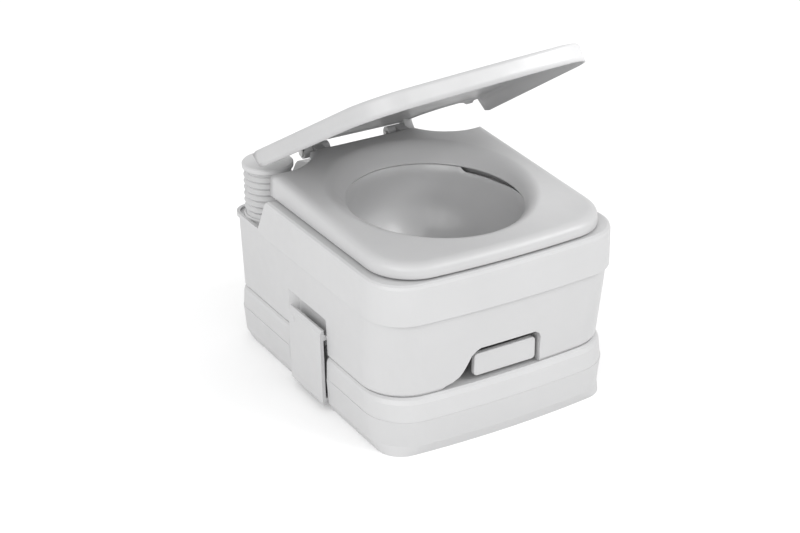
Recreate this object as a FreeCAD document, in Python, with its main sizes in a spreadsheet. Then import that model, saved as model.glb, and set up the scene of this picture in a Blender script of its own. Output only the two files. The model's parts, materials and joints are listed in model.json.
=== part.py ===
import FreeCAD, Part
import math
import os
import Sketcher

# Portable cassette toilet: a waste tank on the floor, a flush-water tank latched on
# top of it, a bowl, a hinged seat and lid, a bellows pump and a fill cap.
# Millimetres. The origin is on the floor, under the middle of the bounding box.
# +Z is up, -Y is the front, where the slide valve's handle is, and +X is to the
# right of somebody who looks at the front.

SIZES = {
    # outer casing, bottom to top: height, half width, front, back, corner radii
    "wall": 3.0,
    "bow": 9.4,
    "foot_half": 157.3, "foot_front": 190.4, "foot_back": 186.0,
    "skirt_z": 13.0, "skirt_half": 163.5, "skirt_front": 194.0, "skirt_back": 191.5,
    "weld_z": 47.0, "weld_half": 165.7, "weld_front": 196.1, "weld_back": 193.5,
    "split_z": 75.4, "split_half": 163.5, "split_front": 188.0, "split_back": 191.0,
    "split_gap": 0.6, "shoulder": 7.0,
    "tank_z": 175.0, "tank_half": 166.5, "tank_front": 193.0, "tank_back": 194.0,
    "collar_z": 175.6, "collar_half": 168.5, "collar_front": 196.5, "collar_back": 196.5,
    "collar_top": 226.0, "collar_round": 5.0,
    "foot_corner": 32.0, "tank_corner": 57.0, "collar_corner": 51.0, "rear_corner": 22.0,
    # side latches and the recess that each one lies in
    "recess_half": 156.0, "recess_front": 45.4, "recess_back": 38.4, "recess_top": 127.0,
    "ramp_rise": 12.0, "ramp_run": 16.0,
    "latch_front": 43.4, "latch_back": 36.4, "latch_low": 9.5, "latch_high": 113.0,
    "latch_face": 170.5, "latch_thick": 5.0, "latch_pivot_x": 161.0, "latch_pivot_z": 14.0,
    "latch_knuckle": 4.0, "latch_pin": 1.6, "latch_ajar": 1.4,
    "nose_reach": 158.6, "nose_low": 98.6, "nose_high": 107.0, "ledge_reach": 160.2,
    "ledge_low": 86.0, "ledge_high": 98.0,
    # slide valve between the two tanks
    "bowl_y": -9.0, "valve_hole": 34.0, "valve_half": 49.0, "valve_front": 62.0,
    "valve_back": 44.0, "gasket_low": 75.4, "base_low": 76.6, "blade_low": 80.2,
    "blade_thick": 3.0, "cover_low": 83.5, "cover_high": 87.0, "blade_half": 43.0,
    "stem_half": 18.0, "blade_tail": 30.0, "tunnel_half": 52.0, "tunnel_top": 102.0,
    "tunnel_back": 50.0, "niche_top": 121.0, "niche_half": 48.0, "niche_flare": 92.0,
    "niche_depth": 150.0, "handle_half": 43.5, "handle_low": 81.5, "handle_high": 110.8,
    "handle_face": 184.0, "handle_thick": 6.0, "handle_corner": 5.0,
    "seal_high": 92.0, "screw_shank": 1.6, "screw_head": 3.4,
    # bowl; its mouth and the seat's hole share an axis ahead of the outlet's
    "mouth_y": -25.0, "outlet_low": 92.2, "outlet_top": 112.0, "outlet_wall": 3.5, "bowl_rim": 222.8,
    "mouth_half": 112.0, "mouth_long": 120.0,
    "nozzle_x": 104.0, "nozzle_y": -10.0, "nozzle_z": 210.0,
    # seat and lid
    "hinge_y": 163.0, "hinge_z": 250.0, "seat_low": 228.0, "seat_edge": 252.0,
    "seat_crest": 260.2, "seat_slope": 2.9, "seat_half": 156.2, "seat_front": 190.0, "seat_corner": 59.0,
    "seat_back": 150.0, "notch_y": 108.0, "notch_x": 78.0, "notch_round": 62.0,
    "hole_half": 107.0, "hole_long": 117.0, "dish_half": 130.0, "dish_long": 137.0,
    "lid_low": 239.4, "lid_edge": 252.0, "lid_top": 263.0, "lid_crown": 266.0,
    "lid_half": 159.4, "lid_front": 193.4, "lid_wall": 2.2, "lid_open": 31.9,
    "lid_back": 169.0, "knuckle": 8.5, "pin": 3.0, "fit": 0.05,
    "lug_near": 44.0, "lug_far": 55.0, "seat_ear_near": 55.4, "seat_ear_far": 68.6,
    "lid_ear_near": 69.0, "lid_ear_far": 81.0, "bumper": 6.0,
    # pump and fill cap, in the pockets of the rear deck
    "deck_z": 178.0, "rim_z": 181.0, "pocket_low": 52.0, "pocket_high": 70.0,
    "rear_x": 132.0, "rear_y": 160.0, "bellows": 31.0, "bellows_root": 27.4,
    "bellows_low": 180.5, "bellows_high": 245.0, "pump_cap_high": 251.5, "cap_lap": 1.6,
    "plate_spigot": 24.8, "plate_low": 172.0, "neck": 24.0, "neck_bore": 20.0,
    "neck_high": 190.0, "cap": 30.0, "cap_high": 199.0,
}

BELLOWS_FOLDS = 7
# bowl's inner surface: height, half width, half length and centre of each oval
BOWL_OVALS = [(112.0, 34.0, 34.0, -9.0), (130.0, 58.0, 60.0, -12.0), (152.0, 82.0, 87.0, -17.0),
              (178.0, 98.0, 105.0, -21.0), (203.0, 106.0, 115.0, -24.0), (222.8, 109.0, 119.0, -25.0)]
# seat's dished top: height and how far the oval is on its way from hole to crest
DISH_OVALS = [(226.0, 0.0), (237.0, 0.0), (240.0, 0.06), (245.0, 0.28), (251.0, 0.56),
              (257.0, 0.84), (263.0, 1.12)]


class Dim:
    """A length: its value in mm, and the expression that ties it to the sheet."""

    def __init__(self, value, text):
        self.value = value
        self.text = text

    def __add__(self, other):
        other = dim(other)
        return Dim(self.value + other.value, f"({self.text} + {other.text})")

    def __sub__(self, other):
        other = dim(other)
        return Dim(self.value - other.value, f"({self.text} - {other.text})")

    def __mul__(self, factor):
        return Dim(self.value * factor, f"({self.text} * {factor})")

    def __truediv__(self, factor):
        return Dim(self.value / factor, f"({self.text} / {factor})")

    def __neg__(self):
        return self * -1


def dim(value):
    """Take a sheet name, a plain number or a Dim, and return a Dim."""
    if isinstance(value, Dim):
        return value
    if isinstance(value, str):
        return Dim(SIZES[value], f"Sizes.{value}")
    return Dim(float(value), f"({float(value)})")


def bind(obj, prop, value):
    """Tie one property to the sheet."""
    obj.setExpression(prop, dim(value).text)


doc = FreeCAD.newDocument("CassetteToilet")


def make_sheet():
    sheet = doc.addObject("Spreadsheet::Sheet", "Sizes")
    for row, (name, value) in enumerate(SIZES.items(), start=1):
        sheet.set(f"A{row}", name)
        sheet.set(f"B{row}", str(value))
        sheet.setAlias(f"B{row}", name)
    doc.recompute()


# ---------------------------------------------------------------- basic shapes

def add(kind, name):
    obj = doc.addObject(kind, name)
    obj.Label = name
    return obj


def place(obj, x, y, z):
    for axis, value in zip("xyz", (x, y, z)):
        bind(obj, f"Placement.Base.{axis}", value)


def box(name, x, y, z):
    """A box from three (low, high) pairs."""
    obj = add("Part::Box", name)
    for prop, (low, high) in zip(("Length", "Width", "Height"), (x, y, z)):
        bind(obj, prop, dim(high) - dim(low))
    place(obj, x[0], y[0], z[0])
    return obj


TURNS = {
    "x": FreeCAD.Rotation(FreeCAD.Vector(0, 1, 0), 90),
    "y": FreeCAD.Rotation(FreeCAD.Vector(1, 0, 0), -90),
    "z": FreeCAD.Rotation(),
}


def rod(name, axis, start, length, radius):
    """A cylinder that runs from start along +axis."""
    obj = add("Part::Cylinder", name)
    obj.Placement.Rotation = TURNS[axis]
    bind(obj, "Radius", radius)
    bind(obj, "Height", length)
    place(obj, *start)
    return obj


def cone(name, start, height, low_radius, high_radius):
    obj = add("Part::Cone", name)
    bind(obj, "Radius1", low_radius)
    bind(obj, "Radius2", high_radius)
    bind(obj, "Height", height)
    place(obj, *start)
    return obj


def oval(name, z, half, long, y="mouth_y"):
    """An upright ellipse, long from front to back."""
    obj = add("Part::Ellipse", name)
    obj.MajorRadius = dim(long).value
    obj.MinorRadius = dim(half).value
    bind(obj, "MajorRadius", long)
    bind(obj, "MinorRadius", half)
    obj.Placement.Rotation = FreeCAD.Rotation(FreeCAD.Vector(0, 0, 1), 90)
    place(obj, 0, y, z)
    return obj


def loft(name, sections, ruled):
    obj = add("Part::Loft", name)
    obj.Sections = sections
    obj.Solid = True
    obj.Ruled = ruled
    return obj


def cut(name, base, tool):
    obj = add("Part::Cut", name)
    obj.Base = base
    obj.Tool = tool
    return obj


def fuse(name, shapes):
    obj = add("Part::MultiFuse", name)
    obj.Shapes = shapes
    return obj


def common(name, base, tool):
    obj = add("Part::Common", name)
    obj.Base = base
    obj.Tool = tool
    return obj


def tube(name, axis, start, length, outer, inner):
    """A round tube or ring along +axis."""
    return cut(name, rod(f"{name}_outside", axis, start, length, outer),
               rod(f"{name}_bore", axis, start, length, inner))


# -------------------------------------------------------------------- sketches

def fix_point(sketch, geo, pos, x, y):
    """Hold one point at x, y; None leaves that direction free."""
    for kind, axis, value in (("DistanceX", -2, x), ("DistanceY", -1, y)):
        if value is None:
            continue
        value = dim(value)
        if abs(value.value) < 1e-9:
            sketch.addConstraint(Sketcher.Constraint("PointOnObject", geo, pos, axis))
            continue
        index = sketch.addConstraint(Sketcher.Constraint(kind, -1, 1, geo, pos, value.value))
        bind(sketch, f"Constraints[{index}]", value)


def fix_radius(sketch, geo, radius):
    index = sketch.addConstraint(Sketcher.Constraint("Radius", geo, dim(radius).value))
    bind(sketch, f"Constraints[{index}]", radius)


def arc(sketch, centre, radius, start, end):
    """An anticlockwise arc between two angles in radians."""
    circle = Part.Circle(FreeCAD.Vector(centre[0], centre[1], 0), FreeCAD.Vector(0, 0, 1), radius)
    return sketch.addGeometry(Part.ArcOfCircle(circle, start, end), False)


def line(sketch, start, end):
    ends = [FreeCAD.Vector(x, y, 0) for x, y in (start, end)]
    return sketch.addGeometry(Part.LineSegment(*ends), False)


def front_arcs(sketch, half, front, corner):
    """The bowed front and its two corners; returns (left, bow, right, side y)."""
    half, front, corner, bow = dim(half), dim(front), dim(corner), dim("bow")
    big = Dim((half.value ** 2 + bow.value ** 2) / (2 * bow.value),
              f"(({half.text}) ^ 2 + Sizes.bow ^ 2) / (2 * Sizes.bow)")
    r = corner.value
    centre_y = big.value - front.value
    corner_x = half.value - r
    corner_y = centre_y - math.sqrt((big.value - r) ** 2 - corner_x ** 2)
    lean = math.atan2(corner_x, centre_y - corner_y)
    down = 1.5 * math.pi
    left = arc(sketch, (-corner_x, corner_y), r, math.pi, down - lean)
    bowed = arc(sketch, (0, centre_y), big.value, down - lean, down + lean)
    right = arc(sketch, (corner_x, corner_y), r, down + lean, 2 * math.pi)
    fix_radius(sketch, left, corner)
    fix_radius(sketch, right, corner)
    fix_radius(sketch, bowed, big)
    fix_point(sketch, bowed, 3, 0, big - front)
    return left, bowed, right, corner_y


def tangent(sketch, first, second):
    """The end of one edge runs smoothly into the start of the next."""
    sketch.addConstraint(Sketcher.Constraint("Tangent", first, 2, second, 1))


def join(sketch, first, second):
    sketch.addConstraint(Sketcher.Constraint("Coincident", first, 2, second, 1))


def upright_sketch(name, z):
    sketch = add("Sketcher::SketchObject", name)
    bind(sketch, "Placement.Base.z", z)
    return sketch


def tub_outline(name, level):
    """A rounded rectangle with a bowed front, at one height."""
    z, half, front, back, corner, rear = (dim(value) for value in level)
    sketch = upright_sketch(name, z)
    left, bowed, right, side_y = front_arcs(sketch, half, front, corner)
    h, b, r = half.value, back.value, rear.value
    right_side = line(sketch, (h, side_y), (h, b - r))
    rear_right = arc(sketch, (h - r, b - r), r, 0, math.pi / 2)
    rear_edge = line(sketch, (h - r, b), (r - h, b))
    rear_left = arc(sketch, (r - h, b - r), r, math.pi / 2, math.pi)
    left_side = line(sketch, (-h, b - r), (-h, side_y))
    loop = [right_side, rear_right, rear_edge, rear_left, left_side, left, bowed, right]
    for first, second in zip(loop, loop[1:] + loop[:1]):
        tangent(sketch, first, second)
    fix_radius(sketch, rear_right, rear)
    fix_radius(sketch, rear_left, rear)
    for side, value in ((right_side, half), (left_side, -half)):
        sketch.addConstraint(Sketcher.Constraint("Vertical", side))
        fix_point(sketch, side, 1, value, None)
    sketch.addConstraint(Sketcher.Constraint("Horizontal", rear_edge))
    fix_point(sketch, rear_edge, 1, None, back)
    return sketch


def notched_outline(name, z, half, front, corner, back, inset):
    """Seat and lid: a bowed front, and a round bite at each rear corner."""
    half, front, back = dim(half) - inset, dim(front) - inset, dim(back) - inset
    bite, notch_x, notch_y = dim("notch_round") + inset, dim("notch_x"), dim("notch_y")
    notch_x, notch_y = notch_x - dim(inset) * 0.6, notch_y - dim(inset) * 0.8
    sketch = upright_sketch(name, z)
    left, bowed, right, side_y = front_arcs(sketch, half, front, dim(corner) - inset)
    h, b, nx, ny, r = (value.value for value in (half, back, notch_x, notch_y, bite))
    middle = ((h + nx) / 2, (ny + b) / 2)
    across = math.hypot(h - nx, b - ny)
    reach = math.sqrt(r ** 2 - across ** 2 / 4)
    out = ((b - ny) / across, (h - nx) / across)
    centre = (middle[0] + out[0] * reach, middle[1] + out[1] * reach)
    low = math.atan2(ny - centre[1], h - centre[0]) % (2 * math.pi)
    high = math.atan2(b - centre[1], nx - centre[0]) % (2 * math.pi)
    right_side = line(sketch, (h, side_y), (h, ny))
    bite_right = arc(sketch, centre, r, high, low)
    rear_edge = line(sketch, (nx, b), (-nx, b))
    bite_left = arc(sketch, (-centre[0], centre[1]), r, 3 * math.pi - low, 3 * math.pi - high)
    left_side = line(sketch, (-h, ny), (-h, side_y))
    tangent(sketch, left_side, left)
    tangent(sketch, left, bowed)
    tangent(sketch, bowed, right)
    tangent(sketch, right, right_side)
    sketch.addConstraint(Sketcher.Constraint("Coincident", right_side, 2, bite_right, 2))
    sketch.addConstraint(Sketcher.Constraint("Coincident", bite_right, 1, rear_edge, 1))
    sketch.addConstraint(Sketcher.Constraint("Coincident", rear_edge, 2, bite_left, 2))
    sketch.addConstraint(Sketcher.Constraint("Coincident", bite_left, 1, left_side, 1))
    fix_radius(sketch, bite_right, bite)
    fix_radius(sketch, bite_left, bite)
    sketch.addConstraint(Sketcher.Constraint("Vertical", right_side))
    sketch.addConstraint(Sketcher.Constraint("Vertical", left_side))
    fix_point(sketch, right_side, 2, half, notch_y)
    fix_point(sketch, left_side, 1, -half, notch_y)
    fix_point(sketch, rear_edge, 1, notch_x, back)
    fix_point(sketch, rear_edge, 2, -notch_x, back)
    return sketch


def tub(name, levels):
    """A solid through rounded rectangles, flat-sided between its levels."""
    sections = [tub_outline(f"{name}_level{i}", level) for i, level in enumerate(levels)]
    return loft(name, sections, True)


def inset(level, by, z=None):
    """The same level with every side moved in, at another height if one is given."""
    z0, half, front, back, corner, rear = (dim(value) for value in level)
    return (z0 if z is None else z, half - by, front - by, back - by, corner - by, rear - by)


def body(name, at=None):
    obj = add("PartDesign::Body", name)
    if at:
        place(obj, *at, 0)
    return obj


def plane_sketch(owner, role, name, offset=0):
    """A sketch on one of the body's own planes, moved along the plane's normal."""
    sketch = owner.newObject("Sketcher::SketchObject", name)
    plane = [feature for feature in owner.Origin.OriginFeatures if feature.Role == role][0]
    sketch.AttachmentSupport = (plane, [""])
    sketch.MapMode = "FlatFace"
    bind(sketch, "AttachmentOffset.Base.z", offset)
    return sketch


def draw(sketch, points):
    """A closed outline of straight edges whose corners follow the sheet."""
    points = [(dim(x), dim(y)) for x, y in points]
    ends = points[1:] + points[:1]
    edges = [line(sketch, (a[0].value, a[1].value), (b[0].value, b[1].value))
             for a, b in zip(points, ends)]
    for first, second in zip(edges, edges[1:] + edges[:1]):
        join(sketch, first, second)
    for edge, (x, y) in zip(edges, points):
        fix_point(sketch, edge, 1, x, y)


def draw_circle(sketch, x, y, radius):
    x, y = dim(x), dim(y)
    circle = Part.Circle(FreeCAD.Vector(x.value, y.value, 0), FreeCAD.Vector(0, 0, 1),
                         dim(radius).value)
    geo = sketch.addGeometry(circle, False)
    fix_radius(sketch, geo, radius)
    fix_point(sketch, geo, 3, x, y)


def feature(owner, kind, name, sketch, length):
    """A Pad or Pocket that goes along its sketch's normal by length."""
    obj = owner.newObject(f"PartDesign::{kind}", name)
    obj.Profile = sketch
    bind(obj, "Length", length)
    if kind == "Pocket":
        obj.Reversed = True
    return obj


def revolve(owner, name, sketch):
    obj = owner.newObject("PartDesign::Revolution", name)
    obj.Profile = sketch
    obj.ReferenceAxis = (sketch, ["V_Axis"])
    obj.Angle = 360
    return obj


def turned(name, x, y, profile):
    """A round piece about an upright axis at x, y, from its half profile."""
    owner = body(name, (x, y))
    sketch = plane_sketch(owner, "XZ_Plane", f"{name}_profile")
    draw(sketch, profile)
    revolve(owner, f"{name}_turned", sketch)
    return owner


def round_edges(owner, name, radius, wanted):
    """Fillet the edges of the body's tip that the test picks out."""
    doc.recompute()
    tip = owner.Tip
    edges = [f"Edge{i}" for i, edge in enumerate(tip.Shape.Edges, start=1) if wanted(edge)]
    fillet = owner.newObject("PartDesign::Fillet", name)
    fillet.Base = (tip, edges)
    bind(fillet, "Radius", radius)
    return fillet


# ------------------------------------------------------------------ waste tank

FOOT = (0, "foot_half", "foot_front", "foot_back", "foot_corner", "rear_corner")
SKIRT = ("skirt_z", "skirt_half", "skirt_front", "skirt_back", "tank_corner", "rear_corner")
WELD = ("weld_z", "weld_half", "weld_front", "weld_back", "tank_corner", "rear_corner")
SHOULDER = (dim("split_z") - "shoulder", dim("weld_half") - 0.8, dim("split_front") + 4.0,
            dim("split_back") + 1.0, "tank_corner", "rear_corner")
SPLIT = ("split_z", dim("split_half") - 2.0, dim("split_front") - 1.6,
         dim("split_back") - 2.0, "tank_corner", "rear_corner")
SPLIT_EDGE = (dim("split_z") - 2.2, dim("split_half") + 0.2, dim("split_front") + 1.4,
              dim("split_back") - 0.2, "tank_corner", "rear_corner")


def latch_recesses(name, low, high, grow=0):
    """The upright slots in both sides of the casing, or their jackets if grown."""
    grow = dim(grow)
    slots = []
    for side, word in ((1, "right"), (-1, "left")):
        inner, outer = dim("recess_half") - grow, dim("latch_face") + 12
        x = (inner, outer) if side > 0 else (-outer, -inner)
        y = (-dim("recess_front") - grow, dim("recess_back") + grow)
        if grow.value:
            y = (y[0], y[1] + "ramp_run")
        slots.append(box(f"{name}_{word}", x, y, (low, dim(high) + grow)))
    return slots


def latch_ramps(name, low, high):
    """Slanted cuts that ease the rear wall of each latch slot out to the casing's face."""
    rise, run = dim("ramp_rise"), dim("ramp_run")
    length = math.hypot(rise.value, run.value) + 4
    lean = math.degrees(math.atan2(rise.value, run.value))
    ramps = []
    for side, word in ((1, "right"), (-1, "left")):
        ramp = box(f"{name}_{word}", (0, 24), (0, length), (low, high))
        if side > 0:
            place(ramp, "recess_half", "recess_back", low)
            angle = -lean
        else:
            share = length / (length - 4)
            place(ramp, -dim("recess_half") - rise * share, dim("recess_back") + run * share, low)
            angle = 180 + lean
        ramp.Placement.Rotation = FreeCAD.Rotation(FreeCAD.Vector(0, 0, 1), angle)
        ramps.append(ramp)
    return ramps


def make_waste_tank():
    wall = dim("wall")
    floor_level = inset(FOOT, wall, wall)
    hollow = tub("waste_lower_room", [floor_level, inset(SKIRT, wall),
                                      inset(WELD, wall, dim("weld_z") + 1)])
    jackets = fuse("waste_lower_jackets", latch_recesses("waste_lower_jacket", 0, "weld_z", wall))
    room = cut("waste_lower_hollow", hollow, jackets)
    slots = latch_recesses("waste_lower_slot", -1, dim("weld_z") + 1)
    pins = [rod(f"waste_pin_hole_{word}", "y",
                (dim("latch_pivot_x") * side, -dim("recess_front") - 2.5, "latch_pivot_z"),
                dim("recess_front") + dim("recess_back") + 5, "latch_pin")
            for side, word in ((1, "right"), (-1, "left"))]
    casing = tub("waste_lower_casing", [FOOT, SKIRT, WELD])
    slots += latch_ramps("waste_lower_ramp", -1, dim("weld_z") + 1)
    cut("waste_tank_lower", casing, fuse("waste_lower_voids", [room] + slots + pins))

    step = dim(0.5)
    weld_top = inset(WELD, step)
    roof = dim("split_z") - wall
    hollow = tub("waste_upper_room", [inset(weld_top, wall, dim("weld_z") - 1),
                                      inset(SHOULDER, wall), inset(SPLIT, wall, roof)])
    jackets = fuse("waste_upper_jackets",
                   latch_recesses("waste_upper_jacket", dim("weld_z") - 2, "split_z", wall))
    room = cut("waste_upper_hollow", hollow, jackets)
    slots = latch_recesses("waste_upper_slot", dim("weld_z") - 1, dim("split_z") + 1)
    slots += latch_ramps("waste_upper_ramp", dim("weld_z") - 1, dim("split_z") + 1)
    inlet = rod("waste_inlet", "z", (0, "bowl_y", roof - 1), wall + 2, dim("valve_hole") + 2)
    screws = [rod(f"waste_screw_hole{i}", "z", (x, y, roof), wall, "screw_shank")
              for i, (x, y) in enumerate(valve_screw_places())]
    casing = tub("waste_upper_casing", [weld_top, SHOULDER, SPLIT_EDGE, SPLIT])
    cut("waste_tank_upper", casing, fuse("waste_upper_voids", [room] + slots + [inlet] + screws))


def make_latch(side, word):
    """A plate hinged low on the waste tank, whose nose sits over the ledge above."""
    name = f"latch_{word}"
    owner = body(name)
    width = dim("latch_front") + dim("latch_back")
    back = -dim("latch_back")
    face, inside = dim("latch_face"), dim("latch_face") - "latch_thick"
    pivot_x, pivot_z, r = dim("latch_pivot_x"), dim("latch_pivot_z"), dim("latch_knuckle")
    profile = [(face - 1.5, "latch_low"), (face, dim("latch_low") + 2.5),
               (face, dim("latch_high") - 4), (face - 3, "latch_high"),
               (inside - 1, "latch_high"), (inside - 1, "nose_high"),
               ("nose_reach", dim("nose_low") + 3), ("nose_reach", "nose_low"),
               (inside, "nose_low"), (inside, pivot_z + r), (pivot_x, pivot_z + r),
               (pivot_x, pivot_z - r), (inside, "latch_low")]
    sketch = plane_sketch(owner, "XZ_Plane", f"{name}_profile", back)
    draw(sketch, [(dim(x) * side, z) for x, z in profile])
    feature(owner, "Pad", f"{name}_plate", sketch, width)
    sketch = plane_sketch(owner, "XZ_Plane", f"{name}_knuckle_circle", back)
    draw_circle(sketch, pivot_x * side, pivot_z, r)
    feature(owner, "Pad", f"{name}_knuckle", sketch, width)
    sketch = plane_sketch(owner, "XZ_Plane", f"{name}_pin_circle", back)
    draw_circle(sketch, pivot_x * side, pivot_z, dim("latch_pin") + "fit")
    feature(owner, "Pocket", f"{name}_bore", sketch, width)
    doc.recompute()
    axis, centre = FreeCAD.Vector(0, side, 0), FreeCAD.Vector(pivot_x.value * side, 0, pivot_z.value)
    turn = FreeCAD.Rotation(axis, SIZES["latch_ajar"])
    owner.Placement = FreeCAD.Placement(FreeCAD.Vector(), turn, centre)
    rod(f"latch_pin_{word}", "y",
        (pivot_x * side, -dim("recess_front") - 2.5, pivot_z),
        dim("recess_front") + dim("recess_back") + 5, "latch_pin")


# ----------------------------------------------------------------- slide valve

def valve_screw_places():
    x = dim("valve_half") - 3.2
    near, far = -dim("valve_front") + 5, dim("valve_back") - 5
    return [(x * side, y) for side in (1, -1) for y in (near, far)]


def make_valve_housing():
    half = dim("valve_half")
    span_x, span_y = (-half, half), (-dim("valve_front"), "valve_back")
    hole = dim("valve_hole")
    tube("valve_gasket", "z", (0, "bowl_y", "gasket_low"), dim("base_low") - "gasket_low",
         hole + 12, hole + 2)
    base = box("valve_base_block", span_x, span_y, ("base_low", "cover_low"))
    way = box("valve_base_way", (-dim("blade_half") - 0.3, dim("blade_half") + 0.3),
              (-dim("valve_front") - 1, dim("blade_tail") + 2),
               (dim("blade_low") - 0.2, dim("cover_low") + 1))
    port = rod("valve_base_port", "z", (0, "bowl_y", dim("base_low") - 1), 10, hole)
    holes = [rod(f"valve_base_hole{i}", "z", (x, y, dim("base_low") - 1), 10, "screw_shank")
             for i, (x, y) in enumerate(valve_screw_places())]
    cut("valve_base", base, fuse("valve_base_voids", [way, port] + holes))
    cover = box("valve_cover_block", span_x, span_y, ("cover_low", "cover_high"))
    port = rod("valve_cover_port", "z", (0, "bowl_y", dim("cover_low") - 1), 6, hole)
    holes = [rod(f"valve_cover_hole{i}", "z", (x, y, dim("cover_low") - 1), 6, "screw_shank")
             for i, (x, y) in enumerate(valve_screw_places())]
    cut("valve_cover", cover, fuse("valve_cover_voids", [port] + holes))
    turned("valve_lip_seal", 0, "bowl_y",
           [(hole + 1, "cover_high"), (hole + 10, "cover_high"), (hole + 10, dim("cover_high") + 2),
            (hole + 5, "seal_high"), (hole + 2.5, "seal_high"), (hole + 3, dim("cover_high") + 2)])
    screws = []
    for i, (x, y) in enumerate(valve_screw_places()):
        shank = rod(f"valve_screw_shank{i}", "z", (x, y, dim("split_z") - "wall"),
                    dim("cover_high") - "split_z" + "wall", "screw_shank")
        head = rod(f"valve_screw_head{i}", "z", (x, y, "cover_high"), 2.2, "screw_head")
        screws.append(fuse(f"valve_screw{i}", [shank, head]))
    fuse("valve_screws", screws)


def handle_screw_places():
    y = -dim("handle_face") + dim("handle_thick") + 9
    return [(dim(9 * side), y) for side in (1, -1)]


def make_valve_slide():
    """The blade that closes the outlet, and the pull plate on its front end."""
    low, thick = dim("blade_low"), dim("blade_thick")
    inner_face = -dim("handle_face") + "handle_thick"
    blade = box("blade_wide", (-dim("blade_half"), "blade_half"), (-dim("valve_front"), "blade_tail"),
                (low, low + thick))
    stem = box("blade_stem", (-dim("stem_half"), "stem_half"), (inner_face, -dim("valve_front")),
               (low, low + thick))
    holes = [rod(f"blade_hole{i}", "z", (x, y, low - 1), thick + 2, "screw_shank")
             for i, (x, y) in enumerate(handle_screw_places())]
    cut("valve_blade", fuse("blade_plate", [blade, stem]), fuse("blade_holes", holes))

    owner = body("valve_handle")
    half, bottom, top = dim("handle_half"), dim("handle_low"), dim("handle_high")
    sketch = plane_sketch(owner, "XZ_Plane", "handle_outline", -inner_face)
    draw(sketch, [(-half, bottom), (half, bottom), (half, top), (-half, top)])
    feature(owner, "Pad", "handle_plate", sketch, "handle_thick")
    upright = (lambda edge: len(edge.Vertexes) == 2
               and abs(edge.Vertexes[0].Y - edge.Vertexes[1].Y) > 1)
    round_edges(owner, "handle_corners", "handle_corner", upright)
    front = -SIZES["handle_face"]
    face_rim = (lambda edge: abs(edge.BoundBox.YMin - front) < 0.01
                and abs(edge.BoundBox.YMax - front) < 0.01)
    round_edges(owner, "handle_soft_rim", 1.6, face_rim)
    foot_low = low + thick
    sketch = plane_sketch(owner, "XY_Plane", "handle_foot_outline", foot_low)
    draw(sketch, [(-16, inner_face), (16, inner_face), (16, inner_face + 16), (-16, inner_face + 16)])
    feature(owner, "Pad", "handle_foot", sketch, 3.5)
    sketch = plane_sketch(owner, "XY_Plane", "handle_screw_circles", foot_low)
    for x, y in handle_screw_places():
        draw_circle(sketch, x, y, "screw_shank")
    feature(owner, "Pocket", "handle_screw_holes", sketch, 3.5)
    sketch = plane_sketch(owner, "XZ_Plane", "handle_grip_outline", -inner_face - 5)
    draw(sketch, [(-38, top - 7), (38, top - 7), (38, top - 4), (-38, top - 4)])
    feature(owner, "Pad", "handle_grip", sketch, 6)
    screws = []
    for i, (x, y) in enumerate(handle_screw_places()):
        shank = rod(f"handle_screw_shank{i}", "z", (x, y, low), thick + 3.5, "screw_shank")
        head = rod(f"handle_screw_head{i}", "z", (x, y, foot_low + 3.5), 2.0, "screw_head")
        screws.append(fuse(f"handle_screw{i}", [shank, head]))
    fuse("handle_screws", screws)


# ------------------------------------------------------------ flush-water tank

TANK_LOW = (dim("split_z") + "split_gap", dim("split_half") - 2.0, dim("split_front") - 3.2,
            dim("split_back") - 2.0, "tank_corner", "rear_corner")
TANK_EDGE = (dim("split_z") + 4, "split_half", dim("split_front") - 1.2,
             "split_back", "tank_corner", "rear_corner")
TANK_HIGH = ("tank_z", "tank_half", "tank_front", "tank_back", "collar_corner", "rear_corner")


def niche(name, grow, front):
    """The opening in the front for the handle: upright on the right, swept out on the left."""
    owner = body(name)
    top, half, flare = dim("niche_top") + grow, dim("niche_half") + grow, dim("niche_flare") + grow
    split = dim("split_z")
    low = split - 1 + (0 if grow == 0 else 2)
    right = [(half + 1.5, low), (half, top - 30), (half, top - 10), (half - 2.5, top - 4), (half - 9, top)]
    left = [(half - 10, top), (half - 4, top - 3), (half + 2, top - 8), (half + 6, top - 16),
            (half + 11, top - 25), (half + 17, split + 13), (half + 26, split + 8),
            (flare - 8, split + 5), (flare, low)]
    sketch = plane_sketch(owner, "XZ_Plane", f"{name}_outline", "niche_depth")
    draw(sketch, right + [(-x, z) for x, z in left])
    feature(owner, "Pad", f"{name}_block", sketch, dim(front) - "niche_depth")
    return owner


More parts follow.
